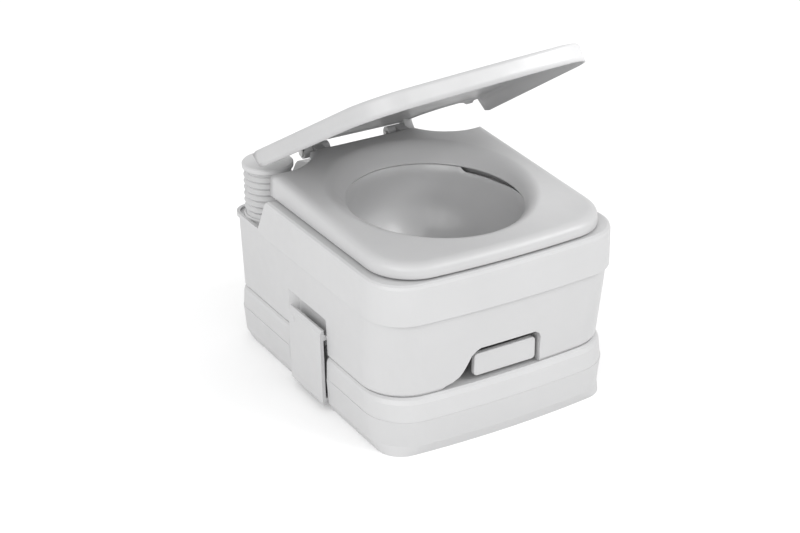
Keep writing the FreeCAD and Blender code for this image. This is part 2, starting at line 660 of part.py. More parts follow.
def make_flush_tank():
    wall = dim("wall")
    low = dim("split_z") + "split_gap"
    casing = tub("flush_casing", [TANK_LOW, TANK_EDGE, TANK_HIGH])
    hollow = tub("flush_hollow", [inset(TANK_LOW, wall, low + wall), inset(TANK_EDGE, wall, low + wall + 3),
                                  inset(TANK_HIGH, wall, dim("tank_z") + 1)])
    jackets = latch_recesses("flush_jacket", low - 1, "recess_top", wall)
    niche_jacket = niche("flush_niche_jacket", 3, 200)
    rear_jacket = box("flush_niche_back", (-dim("niche_flare") - 3, dim("niche_half") + 5),
                      (-dim("niche_depth"), -dim("niche_depth") + wall),
                      (low, dim("niche_top") + wall))
    tunnel_jacket = box("flush_tunnel_jacket", (-dim("tunnel_half") - wall, dim("tunnel_half") + wall),
                        (-dim("niche_depth"), dim("tunnel_back") + wall),
                         (low - 1, dim("tunnel_top") + wall))
    room = cut("flush_room", hollow,
               fuse("flush_jackets", jackets + [niche_jacket, rear_jacket, tunnel_jacket]))
    slots = latch_recesses("flush_slot", low - 1, "recess_top")
    slots += latch_ramps("flush_ramp", low - 1, "recess_top")
    mouth = niche("flush_niche", 0, 210)
    tunnel = box("flush_tunnel", (-dim("tunnel_half"), "tunnel_half"),
                 (-dim("niche_depth") - 1, "tunnel_back"), (low - 1, "tunnel_top"))
    outlet = rod("flush_outlet_hole", "z", (0, "bowl_y", dim("tunnel_top") - 1), wall + 2,
                 dim("valve_hole") + "outlet_wall" + 0.5)
    shell = cut("flush_shell", casing,
                fuse("flush_voids", [room] + slots + [mouth, tunnel, outlet]))
    ledges = []
    for side, word in ((1, "right"), (-1, "left")):
        inner, outer = dim("recess_half") - 1, dim("ledge_reach")
        x = (inner, outer) if side > 0 else (-outer, -inner)
        y = (-dim("recess_front") + 12, dim("recess_back") - 12)
        ledges.append(box(f"flush_ledge_{word}", x, y, ("ledge_low", "ledge_high")))
    fuse("flush_tank", [shell] + ledges)


COLLAR_LOW = ("collar_z", "collar_half", "collar_front", "collar_back", "collar_corner", "rear_corner")
COLLAR_HIGH = inset(COLLAR_LOW, 0.8, dim("collar_top") - "collar_round")
COLLAR_BEND = inset(COLLAR_LOW, 2.0, dim("collar_top") - 1.6)
COLLAR_TOP = inset(COLLAR_LOW, 5.0, "collar_top")


def rear_places():
    """The two deck pockets: the pump's on the left and the fill cap's on the right."""
    return (("pump", -dim("rear_x")), ("fill", dim("rear_x")))


def make_top_housing():
    wall = dim("wall")
    casing = tub("collar_casing", [COLLAR_LOW, COLLAR_HIGH, COLLAR_BEND, COLLAR_TOP])
    hollow = tub("collar_hollow", [inset(COLLAR_LOW, wall, dim("collar_z") - 1),
                                   inset(COLLAR_HIGH, wall),
                                   inset(COLLAR_TOP, wall, dim("collar_top") - wall)])
    height = dim("collar_top") - "deck_z"
    jackets, voids = [], []
    rim_inside = tub("deck_inside", [inset(COLLAR_LOW, 4.5, "deck_z"), inset(COLLAR_LOW, 4.5, "rim_z")])
    for word, x in rear_places():
        jackets.append(rod(f"{word}_pocket_foot", "z", (x, "rear_y", dim("collar_z") - 2),
                           dim("deck_z") - "collar_z" + 2.1, dim("pocket_low") + wall))
        jackets.append(cone(f"{word}_pocket_jacket", (x, "rear_y", "deck_z"), height,
                            dim("pocket_low") + wall, dim("pocket_high") + wall))
        rise = dim("pocket_high") - "pocket_low"
        share = (SIZES["rim_z"] - SIZES["deck_z"]) / (SIZES["collar_top"] - SIZES["deck_z"])
        voids.append(cone(f"{word}_pocket_wall", (x, "rear_y", "rim_z"),
                          dim("collar_top") - "rim_z" + 1, dim("pocket_low") + rise * share,
                          dim("pocket_high") + 0.4))
        disc = rod(f"{word}_pocket_disc", "z", (x, "rear_y", "deck_z"),
                   dim("rim_z") - "deck_z" + 0.01, "pocket_low")
        voids.append(common(f"{word}_pocket_floor", disc, rim_inside))
        bore = dim("plate_spigot") if word == "pump" else dim("neck")
        voids.append(rod(f"{word}_deck_hole", "z", (x, "rear_y", dim("collar_z") - 1), 6, bore))
    room = cut("collar_room", hollow, fuse("collar_jackets", jackets))
    mouth = loft("collar_mouth", [oval(f"collar_mouth{i}", dim("collar_top") + rise, "mouth_half",
                                       "mouth_long") for i, rise in enumerate((-5, 1))], True)
    screws = [rod(f"collar_screw_hole{i}", "z", (x, y, dim("collar_top") - wall - 1), wall + 2,
                  "screw_shank") for i, (x, y) in enumerate(hinge_screw_places())]
    cut("top_housing", casing, fuse("collar_voids", [room, mouth] + voids + screws))


# ------------------------------------------------------------------------ bowl

def make_bowl():
    rim, skin = dim("bowl_rim"), dim("wall")
    inner = [oval(f"bowl_inner{i}", z, half, long, y)
             for i, (z, half, long, y) in enumerate(BOWL_OVALS)]
    outer = [oval(f"bowl_outer{i}", z, half + 3.0, long + 3.0, y)
             for i, (z, half, long, y) in enumerate(BOWL_OVALS)]
    bore = dim("valve_hole")
    neck = rod("bowl_neck", "z", (0, "bowl_y", "outlet_low"), dim("outlet_top") - "outlet_low",
               bore + "outlet_wall")
    drain = rod("bowl_drain", "z", (0, "bowl_y", dim("outlet_low") - 1),
                dim("outlet_top") - "outlet_low" + 2, bore)
    flange = loft("bowl_flange", [oval(f"bowl_flange{i}", z, dim("mouth_half") + 9,
                                       dim("mouth_long") + 9)
                                  for i, z in enumerate((rim - skin, rim))], True)
    solid = fuse("bowl_solid", [loft("bowl_outside", outer, False), neck, flange])
    nozzle_hole = rod("bowl_nozzle_hole", "x", (-dim("nozzle_x") - 12, "nozzle_y", "nozzle_z"), 18, 6)
    cut("bowl", solid, fuse("bowl_voids", [loft("bowl_inside", inner, False), drain, nozzle_hole]))
    roof = dim("tunnel_top") + skin
    turned("bowl_gasket", 0, "bowl_y",
           [(bore + "outlet_wall", roof), (bore + 13, roof), (bore + 13, roof + 2),
            (bore + "outlet_wall", roof + 2)])
    turned("bowl_clamp_ring", 0, "bowl_y",
           [(bore + "outlet_wall", roof + 2), (bore + 14, roof + 2), (bore + 14, roof + 4.5),
            (bore + 8, roof + 6.5), (bore + "outlet_wall", roof + 6.5)])


# ---------------------------------------------------------------- seat and lid

def hinge_screw_places():
    y = dim("hinge_y") + 7
    return [(dim(x * side), y) for side in (1, -1) for x in (40.5, 58.5)]


def ear(name, near, far, side, web):
    """A hinge knuckle across the axis, with the web that ties it to its panel."""
    near, far = dim(near), dim(far)
    low = near if side > 0 else -far
    knuckle = rod(f"{name}_knuckle", "x", (low, "hinge_y", "hinge_z"), far - near, "knuckle")
    web_y, web_z = web
    return [knuckle, box(f"{name}_web", (low, low + far - near), web_y, web_z)]


def pin_bores(name, near, far):
    bores = []
    for side, word in ((1, "right"), (-1, "left")):
        low = dim(near) - 1 if side > 0 else -dim(far) - 1
        bores.append(rod(f"{name}_{word}", "x", (low, "hinge_y", "hinge_z"),
                         dim(far) - dim(near) + 2, dim("pin") + "fit"))
    return bores


def seat_section(name, z, by=0):
    return notched_outline(name, z, "seat_half", "seat_front", "seat_corner", "seat_back", by)


def bumper_places():
    return [(dim(134 * side), dim(y)) for side in (1, -1) for y in (-128, 62)]


def make_seat():
    """A wedge-shaped ring, thick at the hinge and thin at the front, with a dished top."""
    wedge = loft("seat_wedge", [seat_section("seat_bottom", "seat_low"),
                                seat_section("seat_waist", dim("seat_edge") - 6, 0.8),
                                seat_section("seat_shoulder", "seat_edge", 2.2),
                                seat_section("seat_bend", dim("seat_crest") - 3, 5.0),
                                seat_section("seat_top", "seat_crest", 9.0)], True)
    slope = math.radians(SIZES["seat_slope"])
    reach = dim("notch_y") + "seat_front" + 10
    above = box("seat_above", (-dim("seat_half") - 10, dim("seat_half") + 10), (0, reach), (0, 60))
    place(above, -dim("seat_half") - 10, dim("notch_y") - reach * math.cos(slope),
          dim("seat_crest") - reach * math.sin(slope))
    above.Placement.Rotation = FreeCAD.Rotation(FreeCAD.Vector(1, 0, 0), SIZES["seat_slope"])
    slab = cut("seat_slab", wedge, above)
    half, long = dim("hole_half"), dim("hole_long")
    wide, far = dim("dish_half") - "hole_half", dim("dish_long") - "hole_long"
    dish = loft("seat_dish", [oval(f"seat_dish{i}", z, half + wide * share, long + far * share)
                              for i, (z, share) in enumerate(DISH_OVALS)], False)
    funnel = loft("seat_funnel", [oval(f"seat_funnel{i}", z - 4, half + wide * share + 3,
                                       long + far * share + 3)
                                  for i, (z, share) in enumerate(DISH_OVALS)], False)
    block = loft("seat_block", [seat_section("seat_room_low", dim("seat_low") - 1, 3.5),
                                seat_section("seat_room_mid", dim("seat_edge") - 14, 6.0),
                                seat_section("seat_room_top", dim("seat_edge") - 10, 14.0)], True)
    bosses = [rod(f"seat_boss{i}", "z", (x, y, dim("seat_low") - 2), 40, dim("bumper") + 2)
              for i, (x, y) in enumerate(bumper_places())]
    room = cut("seat_room", block, fuse("seat_kept", [funnel] + bosses))
    ears = []
    for side, word in ((1, "right"), (-1, "left")):
        ears += ear(f"seat_ear_{word}", "seat_ear_near", "seat_ear_far", side,
                    ((dim("seat_back") - 4, "hinge_y"), (dim("hinge_z") - 8.5, dim("hinge_z") + 8.5)))
    solid = fuse("seat_solid", [cut("seat_shell", slab, fuse("seat_voids", [dish, room]))] + ears)
    cut("seat", solid, fuse("seat_bores", pin_bores("seat_bore", "seat_ear_near", "seat_ear_far")))
    pads = [rod(f"seat_bumper{i}", "z", (x, y, dim("collar_top") + 0.1),
                dim("seat_low") - "collar_top" - 0.1, "bumper")
            for i, (x, y) in enumerate(bumper_places())]
    fuse("seat_bumpers", pads)


def lid_section(name, z, by=0):
    return notched_outline(name, z, "lid_half", "lid_front", dim("seat_corner") + 2, "lid_back", by)


def make_lid():
    """A shallow tray, drawn shut and then turned up about the hinge to where it stands."""
    wall = dim("lid_wall")
    shell = loft("lid_slab", [lid_section("lid_bottom", "lid_low"),
                              lid_section("lid_side", "lid_edge", 0.8),
                              lid_section("lid_shoulder", dim("lid_top") - 3, 2.6),
                              lid_section("lid_rim", "lid_top", 6.0),
                              lid_section("lid_slope", dim("lid_crown") - 1.2, 26.0),
                              lid_section("lid_flat", "lid_crown", 54.0)], True)
    room = loft("lid_room", [lid_section("lid_room_low", dim("lid_low") - 1, wall),
                             lid_section("lid_room_side", "lid_edge", wall + 0.8),
                             lid_section("lid_room_rim", dim("lid_top") - wall, 7.0),
                             lid_section("lid_room_top", dim("lid_crown") - wall - 1.2, 28.0)], True)
    skirt_cut = box("lid_skirt_cut", (-dim("lid_half") - 5, dim("lid_half") + 5),
                    (dim("notch_y") - 7, dim("lid_back") + 5),
                    (dim("lid_low") - 2, dim("hinge_z") + "knuckle" + 1.0))
    panel = cut("lid_panel", shell, fuse("lid_voids", [room, skirt_cut]))
    ears = []
    for side, word in ((1, "right"), (-1, "left")):
        ears += ear(f"lid_ear_{word}", "lid_ear_near", "lid_ear_far", side,
                    ((dim("hinge_y") - 8.5, dim("hinge_y") + 5), ("hinge_z", dim("lid_top") - 1.5)))
    solid = fuse("lid_solid", [panel] + ears)
    lid = cut("lid", solid, fuse("lid_bores", pin_bores("lid_bore", "lid_ear_near", "lid_ear_far")))
    doc.recompute()
    centre = FreeCAD.Vector(0, SIZES["hinge_y"], SIZES["hinge_z"])
    turn = FreeCAD.Rotation(FreeCAD.Vector(1, 0, 0), -SIZES["lid_open"])
    lid.Placement = FreeCAD.Placement(FreeCAD.Vector(), turn, centre)


def make_hinges():
    top, axis_z, y = dim("collar_top"), dim("hinge_z"), dim("hinge_y")
    for side, word in ((1, "right"), (-1, "left")):
        low = dim("lug_near") if side > 0 else -dim("lug_far")
        thick = dim("lug_far") - "lug_near"
        name = f"hinge_block_{word}"
        pad_low = dim(36) if side > 0 else dim(-63)
        pad = box(f"{name}_pad", (pad_low, pad_low + 27), (y - 11, y + 12), (top, top + 2.5))
        foot = box(f"{name}_foot", (low, low + thick), (y - 11, y + 1), (top, axis_z))
        knuckle = rod(f"{name}_knuckle", "x", (low, y, axis_z), thick, "knuckle")
        bore = rod(f"{name}_bore", "x", (low - 1, y, axis_z), thick + 2, "pin")
        holes = [rod(f"{name}_screw_hole{i}", "z", (x, sy, top - 1), 5, "screw_shank")
                 for i, (x, sy) in enumerate(hinge_screw_places())]
        cut(name, fuse(f"{name}_solid", [pad, foot, knuckle]), fuse(f"{name}_voids", [bore] + holes))
        near, far = dim("lug_near") - 2, dim("lid_ear_far") + 0.3
        start = near if side > 0 else -far
        shaft = rod(f"hinge_pin_{word}_shaft", "x", (start, y, axis_z), far - near, "pin")
        head_x = far if side > 0 else -far - 2.2
        head = rod(f"hinge_pin_{word}_head", "x", (head_x, y, axis_z), 2.2, dim("pin") + 2)
        fuse(f"hinge_pin_{word}", [shaft, head])
    screws = []
    for i, (x, sy) in enumerate(hinge_screw_places()):
        shank = rod(f"hinge_screw_shank{i}", "z", (x, sy, top - 10), 12.5, "screw_shank")
        head = rod(f"hinge_screw_head{i}", "z", (x, sy, top + 2.5), 2.2, "screw_head")
        screws.append(fuse(f"hinge_screw{i}", [shank, head]))
    fuse("hinge_screws", screws)


# --------------------------------------------------------- pump and fill parts

# tube places on the pump's valve plate, from the pump's axis
INLET = (-10, 4)
OUTLET = (12, -10)


def make_bellows():
    low, high = dim("bellows_low"), dim("bellows_high")
    crest, root = dim("bellows"), dim("bellows_root")
    step = (high - low - 5) / (2 * BELLOWS_FOLDS)
    skin = 1.6
    wave = []
    for i in range(2 * BELLOWS_FOLDS + 1):
        wave.append((crest if i % 2 == 0 else root, low + 2.5 + step * i))
    outside = [(crest - 2, low), (crest - 2, low + 2.5)] + wave[1:] + [(crest - 2, high)]
    inside = [(x - skin, z) for x, z in reversed(wave)]
    top = [(0, high), (0, high - 2)]
    turned("pump_bellows", -dim("rear_x"), "rear_y",
           outside + top + [(crest - skin, high - 2)] + inside[1:-1] + [(crest - 8, low)])


def make_pump():
    x, y = -dim("rear_x"), dim("rear_y")
    deck, low = dim("deck_z"), dim("plate_low")
    owner = body("pump_valve_plate", (x, y))
    for name, z, length, radius in (("spigot", low, deck - low, "plate_spigot"),
                                    ("flange", deck, dim("bellows_low") - deck, dim("bellows") - 2)):
        sketch = plane_sketch(owner, "XY_Plane", f"plate_{name}_circle", z)
        draw_circle(sketch, 0, 0, radius)
        feature(owner, "Pad", f"plate_{name}", sketch, length)
    for name, (px, py), outer, bore, port in (("inlet", INLET, 7, 4, 2.5), ("outlet", OUTLET, 7, 5, 3)):
        sketch = plane_sketch(owner, "XY_Plane", f"plate_{name}_boss_circle", low - 10)
        draw_circle(sketch, px, py, outer)
        feature(owner, "Pad", f"plate_{name}_boss", sketch, 10)
        sketch = plane_sketch(owner, "XY_Plane", f"plate_{name}_socket_circle", low - 10)
        draw_circle(sketch, px, py, bore)
        feature(owner, "Pocket", f"plate_{name}_socket", sketch, 9)
        sketch = plane_sketch(owner, "XY_Plane", f"plate_{name}_port_circle", low - 10)
        draw_circle(sketch, px, py, port)
        feature(owner, "Pocket", f"plate_{name}_port", sketch, 30)
    rod("pump_inlet_flap", "z", (x + INLET[0], y + INLET[1], "bellows_low"), 1.2, 6)
    rod("pump_outlet_flap", "z", (x + OUTLET[0], y + OUTLET[1], low - 2.4), 1.2, 4.8)
    make_bellows()
    ring_in, ring_out = dim("bellows") - 1.8, dim("bellows") + 1
    turned("pump_base_ring", x, y,
           [(ring_in, deck), (ring_out, deck), (ring_out, deck + 3), (ring_out - 1.5, deck + 4.5),
            (ring_in, deck + 4.5)])
    cap_low, cap_high, r = dim("bellows_high"), dim("pump_cap_high"), dim("bellows") + "cap_lap"
    turned("pump_cap", x, y,
           [(0, cap_low), (r, cap_low), (r, cap_high - 2), (r - 1.5, cap_high - 0.4),
            (r - 4, cap_high), (0, cap_high)])
    tube("suction_tube", "z", (x + INLET[0], y + INLET[1], 84), low - 1 - 84, 4, 2.6)
    make_flush_tube(x.value + OUTLET[0], y.value + OUTLET[1])
    tube("flush_nozzle", "x", (-dim("nozzle_x") - 15, "nozzle_y", "nozzle_z"), 15, 6, 5)


def make_flush_tube(x, y):
    """Hose from the pump's outlet down, across and up to the bowl's nozzle."""
    end, along, high, low = -SIZES["nozzle_x"] - 10, SIZES["nozzle_y"], SIZES["nozzle_z"], 148.0
    run = [(x, y, SIZES["plate_low"] - 4), (x, y, low), (end - 18, along, low),
           (end - 18, along, high), (end, along, high)]
    points = [FreeCAD.Vector(*p) for p in run]
    bend = 12.0
    edges, start = [], points[0]
    for before, corner, after in zip(points, points[1:], points[2:]):
        back = (before - corner).normalize()
        ahead = (after - corner).normalize()
        half_turn = back.getAngle(ahead) / 2
        reach = bend / math.tan(half_turn)
        entry, leave = corner + back * reach, corner + ahead * reach
        hub = corner + (back + ahead).normalize() * (bend / math.sin(half_turn))
        middle = hub + (corner - hub).normalize() * bend
        edges.append(Part.LineSegment(start, entry).toShape())
        edges.append(Part.Arc(entry, middle, leave).toShape())
        start = leave
    edges.append(Part.LineSegment(start, points[-1]).toShape())
    path = Part.Wire(edges)
    ends = []
    for radius in (4.9, 3.4):
        ring = Part.Wire([Part.makeCircle(radius, points[0], FreeCAD.Vector(0, 0, -1))])
        ends.append(path.makePipeShell([ring], True, True))
    hose = add("Part::Feature", "flush_tube")
    hose.Shape = ends[0].cut(ends[1])


def make_fill():
    x, y, deck = dim("rear_x"), dim("rear_y"), dim("deck_z")
    neck, bore, high = dim("neck"), dim("neck_bore"), dim("neck_high")
    turned("fill_neck", x, y,
           [(bore, deck - 5), (neck, deck - 5), (neck, deck), (neck + 6, deck), (neck + 6, deck + 2.5),
            (neck, deck + 2.5), (neck, high), (bore, high)])
    turned("fill_cap_seal", x, y,
           [(bore, high), (neck, high), (neck, high + 2), (bore, high + 2)])
    r, top = dim("cap"), dim("cap_high")
    owner = turned("fill_cap", x, y,
                   [(0, high + 2), (neck + 0.5, high + 2), (neck + 0.5, deck + 4), (r, deck + 4),
                    (r, top - 3), (r - 2, top - 1), (r - 6, top), (0, top)])
    sketch = plane_sketch(owner, "XY_Plane", "cap_bar_outline", top - 0.5)
    draw(sketch, [(-23, -4), (23, -4), (23, 4), (-23, 4)])
    feature(owner, "Pad", "cap_bar", sketch, 6)


# -------------------------------------------------------------------- assembly

NODES = [
    "waste_tank_lower", "waste_tank_upper", "latch_left", "latch_right", "latch_pin_left",
    "latch_pin_right", "valve_gasket", "valve_base", "valve_cover", "valve_lip_seal",
    "valve_screws", "valve_blade", "valve_handle", "handle_screws", "flush_tank",
    "top_housing", "bowl", "bowl_gasket", "bowl_clamp_ring", "seat", "seat_bumpers", "lid",
    "hinge_block_left", "hinge_block_right", "hinge_pin_left", "hinge_pin_right",
    "hinge_screws", "pump_valve_plate", "pump_inlet_flap", "pump_outlet_flap",
    "pump_bellows", "pump_base_ring", "pump_cap", "suction_tube", "flush_tube",
    "flush_nozzle", "fill_neck", "fill_cap_seal", "fill_cap",
]


def check_document():
    for obj in doc.Objects:
        if "Invalid" in obj.State or "Error" in obj.State:
            raise RuntimeError(f"{obj.Label} failed: {obj.State}")


def find(label):
    return doc.getObjectsByLabel(label)[0]


def write_parts():
    os.makedirs("parts", exist_ok=True)
    for name in NODES:
        shape = find(name).Shape
        if shape.isNull() or not shape.isValid() or not shape.Solids:
            raise RuntimeError(f"{name} has no valid solid")
        shape.exportStep(f"parts/{name}.step")
        box_ = shape.BoundBox
        print(f"{name:20s} solids {len(shape.Solids)} volume {shape.Volume:10.0f}"
              f"  x {box_.XMin:7.1f} {box_.XMax:7.1f}  y {box_.YMin:7.1f} {box_.YMax:7.1f}"
              f"  z {box_.ZMin:6.1f} {box_.ZMax:6.1f}")


make_sheet()
make_waste_tank()
make_latch(1, "right")
make_latch(-1, "left")
make_valve_housing()
make_valve_slide()
make_flush_tank()
make_top_housing()
make_bowl()
make_seat()
make_lid()
make_hinges()
make_pump()
make_fill()
doc.recompute()
check_document()
write_parts()
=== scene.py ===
import json
import math

import bmesh
import bpy
from mathutils import Matrix, Vector


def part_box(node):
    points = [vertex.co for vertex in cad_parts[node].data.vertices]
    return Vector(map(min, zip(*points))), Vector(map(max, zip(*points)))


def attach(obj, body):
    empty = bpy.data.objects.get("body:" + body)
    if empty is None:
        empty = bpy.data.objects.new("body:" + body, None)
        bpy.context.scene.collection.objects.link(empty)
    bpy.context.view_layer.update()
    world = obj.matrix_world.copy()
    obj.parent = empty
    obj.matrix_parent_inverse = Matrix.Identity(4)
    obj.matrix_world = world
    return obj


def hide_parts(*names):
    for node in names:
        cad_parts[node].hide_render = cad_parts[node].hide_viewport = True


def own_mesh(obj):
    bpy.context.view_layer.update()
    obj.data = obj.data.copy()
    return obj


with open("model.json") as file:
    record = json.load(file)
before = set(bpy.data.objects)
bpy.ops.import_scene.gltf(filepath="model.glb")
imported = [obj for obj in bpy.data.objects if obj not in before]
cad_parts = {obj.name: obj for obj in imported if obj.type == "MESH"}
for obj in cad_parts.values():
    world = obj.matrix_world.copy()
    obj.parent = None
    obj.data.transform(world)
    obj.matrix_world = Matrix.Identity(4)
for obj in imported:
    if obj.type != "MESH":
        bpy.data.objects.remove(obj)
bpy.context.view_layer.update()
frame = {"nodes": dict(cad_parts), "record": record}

MM = 0.001
record = frame["record"]
SLOT_OF = {row["node"]: row["material_slot"] for row in record["subparts"]}


# ------------------------------------------------------------------- materials

def noise(tree, scale, detail, place):
    texture = tree.nodes.new("ShaderNodeTexNoise")
    texture.inputs["Scale"].default_value = scale
    texture.inputs["Detail"].default_value = detail
    tree.links.new(place, texture.inputs["Vector"])
    return texture.outputs["Fac"]


def spread(tree, value, low, high):
    """Stretch a 0..1 noise to the range low..high."""
    ramp = tree.nodes.new("ShaderNodeMapRange")
    ramp.inputs["From Min"].default_value = 0.3
    ramp.inputs["From Max"].default_value = 0.7
    ramp.inputs["To Min"].default_value = low
    ramp.inputs["To Max"].default_value = high
    tree.links.new(value, ramp.inputs["Value"])
    return ramp.outputs["Result"]


def moulded(name, colour, roughness, grain=0.10, waviness=0.02, tint=0.012, soft=0.0,
            metallic=0.0, coat=0.0):
    """Moulded material: mottled colour, slightly lighter on sharp convex edges, fine grain and slow
    waviness.
    """
    material = bpy.data.materials.new(name)
    material.use_nodes = True
    tree = material.node_tree
    shader = tree.nodes["Principled BSDF"]
    place = tree.nodes.new("ShaderNodeTexCoord").outputs["Object"]

    mottle = spread(tree, noise(tree, 14.0, 3.0, place), 1.0 - tint, 1.0 + tint)
    # colour lifted by up to tint where the surface's pointiness shows a sharp convex edge
    edge = tree.nodes.new("ShaderNodeMapRange")
    edge.inputs["From Min"].default_value = 0.5
    edge.inputs["From Max"].default_value = 0.62
    edge.inputs["To Min"].default_value = 1.0
    edge.inputs["To Max"].default_value = 1.0 + tint
    tree.links.new(tree.nodes.new("ShaderNodeNewGeometry").outputs["Pointiness"], edge.inputs["Value"])
    both = tree.nodes.new("ShaderNodeMath")
    both.operation = "MULTIPLY"
    tree.links.new(mottle, both.inputs[0])
    tree.links.new(edge.outputs["Result"], both.inputs[1])
    tone = tree.nodes.new("ShaderNodeVectorMath")
    tone.operation = "SCALE"
    tone.inputs[0].default_value = colour
    tree.links.new(both.outputs[0], tone.inputs["Scale"])
    tree.links.new(tone.outputs[0], shader.inputs["Base Color"])

    gloss = spread(tree, noise(tree, 60.0, 4.0, place), roughness - 0.05, roughness + 0.05)
    tree.links.new(gloss, shader.inputs["Roughness"])

    fine = tree.nodes.new("ShaderNodeBump")
    fine.inputs["Strength"].default_value = grain
    fine.inputs["Distance"].default_value = 0.25 * MM
    tree.links.new(noise(tree, 1400.0, 2.0, place), fine.inputs["Height"])
    slow = tree.nodes.new("ShaderNodeBump")
    slow.inputs["Strength"].default_value = waviness
    slow.inputs["Distance"].default_value = 4 * MM
    tree.links.new(noise(tree, 22.0, 1.0, place), slow.inputs["Height"])
    tree.links.new(slow.outputs["Normal"], fine.inputs["Normal"])
    tree.links.new(fine.outputs["Normal"], shader.inputs["Normal"])

    shader.inputs["Metallic"].default_value = metallic
    shader.inputs["Coat Weight"].default_value = coat
    shader.inputs["Subsurface Weight"].default_value = soft
    shader.inputs["Subsurface Radius"].default_value = (2 * MM, 2 * MM, 2 * MM)
    shader.inputs["Subsurface Scale"].default_value = 1.0
    return material


MATERIALS = {
    "casing": moulded("casing_polyethylene", (0.43, 0.43, 0.433), 0.46),
    "seat": moulded("seat_polypropylene", (0.405, 0.405, 0.408), 0.40, grain=0.08),
    "lid": moulded("lid_polypropylene", (0.395, 0.395, 0.398), 0.40, grain=0.08),
    "bowl": moulded("bowl_polypropylene", (0.40, 0.40, 0.403), 0.36, grain=0.04, coat=0.15),
    "bellows": moulded("bellows_soft_polyethylene", (0.42, 0.42, 0.423), 0.48, grain=0.06, soft=0.1),
    "valve_plastic": moulded("valve_acetal", (0.45, 0.45, 0.46), 0.38, grain=0.05),
    "pin_plastic": moulded("pin_nylon", (0.55, 0.55, 0.545), 0.34, grain=0.04),
    "rubber": moulded("rubber_nitrile", (0.03, 0.03, 0.032), 0.62, grain=0.15),
    "hose": moulded("hose_silicone", (0.62, 0.62, 0.60), 0.30, grain=0.02, soft=0.3),
    "steel": moulded("steel_stainless", (0.62, 0.62, 0.63), 0.28, grain=0.05, metallic=1.0),
}


def set_material(piece, slot):
    piece.data.materials.clear()
    piece.data.materials.append(MATERIALS[slot])


for node, piece in frame["nodes"].items():
    set_material(piece, SLOT_OF[node])


# ---------------------------------------------------------------------- pieces

# sizes in millimetres
HINGE_Y, HINGE_Z = 163.0, 250.0
KNUCKLE = 8.5
MOUTH_Y = -25.0
HOLE_HALF, HOLE_LONG = 107.0, 117.0
DISH_HALF, DISH_LONG = 130.0, 137.0
CREST_SHARE = 1.35
SEAT_CORNER = 59.0
SEAT_TOP, SEAT_SLOPE = 259.6, 2.9
NOTCH_Y = 108.0
BOW = 9.4


def arc(centre, radius, start, end, count):
    step = (end - start) / count
    return [(centre[0] + radius * math.cos(start + step * i),
             centre[1] + radius * math.sin(start + step * i)) for i in range(count + 1)]


def straight(start, end, count):
    return [(start[0] + (end[0] - start[0]) * i / count, start[1] + (end[1] - start[1]) * i / count)
            for i in range(1, count)]


def panel_outline(half, front, corner, back, inset, left_notch=NOTCH_Y):
    """Outline of seat or lid: bowed front, rounded front corners, a round bite at each rear corner."""
    right = half_outline(half, front, corner, back, inset, NOTCH_Y)
    left = [(-x, y) for x, y in reversed(half_outline(half, front, corner, back, inset, left_notch))]
    return [(0.0, inset - front)] + right + [(0.0, back - inset)] + left


def half_outline(half, front, corner, back, inset, notch):
    half, front, back, corner = half - inset, front - inset, back - inset, corner - inset
    bite, nx, ny = 62.0 + inset, 78.0 - inset * 0.6, notch - inset * 0.8
    big = (half ** 2 + BOW ** 2) / (2 * BOW)
    corner_x, middle_y = half - corner, big - front
    corner_y = middle_y - math.sqrt((big - corner) ** 2 - corner_x ** 2)
    lean = math.atan2(corner_x, middle_y - corner_y)
    down = 1.5 * math.pi
    across = math.hypot(half - nx, back - ny)
    reach = math.sqrt(bite ** 2 - across ** 2 / 4)
    centre = ((half + nx) / 2 + (back - ny) / across * reach,
              (ny + back) / 2 + (half - nx) / across * reach)
    low = math.atan2(ny - centre[1], half - centre[0]) % (2 * math.pi)
    high = math.atan2(back - centre[1], nx - centre[0]) % (2 * math.pi)
    right = arc((0, middle_y), big, down, down + lean, 24)[1:]
    right += arc((corner_x, corner_y), corner, down + lean, 2 * math.pi, 30)[1:]
    right += straight((half, corner_y), (half, ny), 24)
    right += arc(centre, bite, low, high, 24)
    return right + straight((nx, back), (0, back), 12)


def ring_mesh(name, rings):
    """Skin a closed run of point rings with quads; all rings have the same number of points."""
    mesh = bpy.data.meshes.new(name)
    count = len(rings[0])
    points = [tuple(value * MM for value in point) for ring in rings for point in ring]
    faces = []
    for r in range(len(rings)):
        a, b = r * count, (r + 1) % len(rings) * count
        faces += [(a + i, a + (i + 1) % count, b + (i + 1) % count, b + i) for i in range(count)]
    mesh.from_pydata(points, [], faces)
    shape = bmesh.new()
    shape.from_mesh(mesh)
    bmesh.ops.recalc_face_normals(shape, faces=shape.faces)
    shape.to_mesh(mesh)
    shape.free()
    mesh.shade_smooth()
    piece = bpy.data.objects.new(name, mesh)
    bpy.context.scene.collection.objects.link(piece)
    return piece


def declare(piece, owner, node, slot):
    set_material(piece, slot)
    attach(piece, owner)
    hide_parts(node)


def smooth_least(a, b, blend):
    share = max(blend - abs(a - b), 0.0) / blend
    return min(a, b) - share * share * blend / 4


def seat_plane(y):
    """Height of the seat's top: level over the hinge, falling gently to the front."""
    return SEAT_TOP - max(NOTCH_Y - y, 0.0) * math.tan(math.radians(SEAT_SLOPE))


def dish_height(share):
    steps = [(0.0, 238.4), (0.06, 240.0), (0.28, 245.0), (0.56, 251.0), (0.84, 257.0), (1.12, 263.0),
             (1.8, 277.0)]
    for (s0, z0), (s1, z1) in zip(steps, steps[1:]):
        if share <= s1:
            return z0 + (z1 - z0) * (share - s0) / (s1 - s0)
    return steps[-1][1]


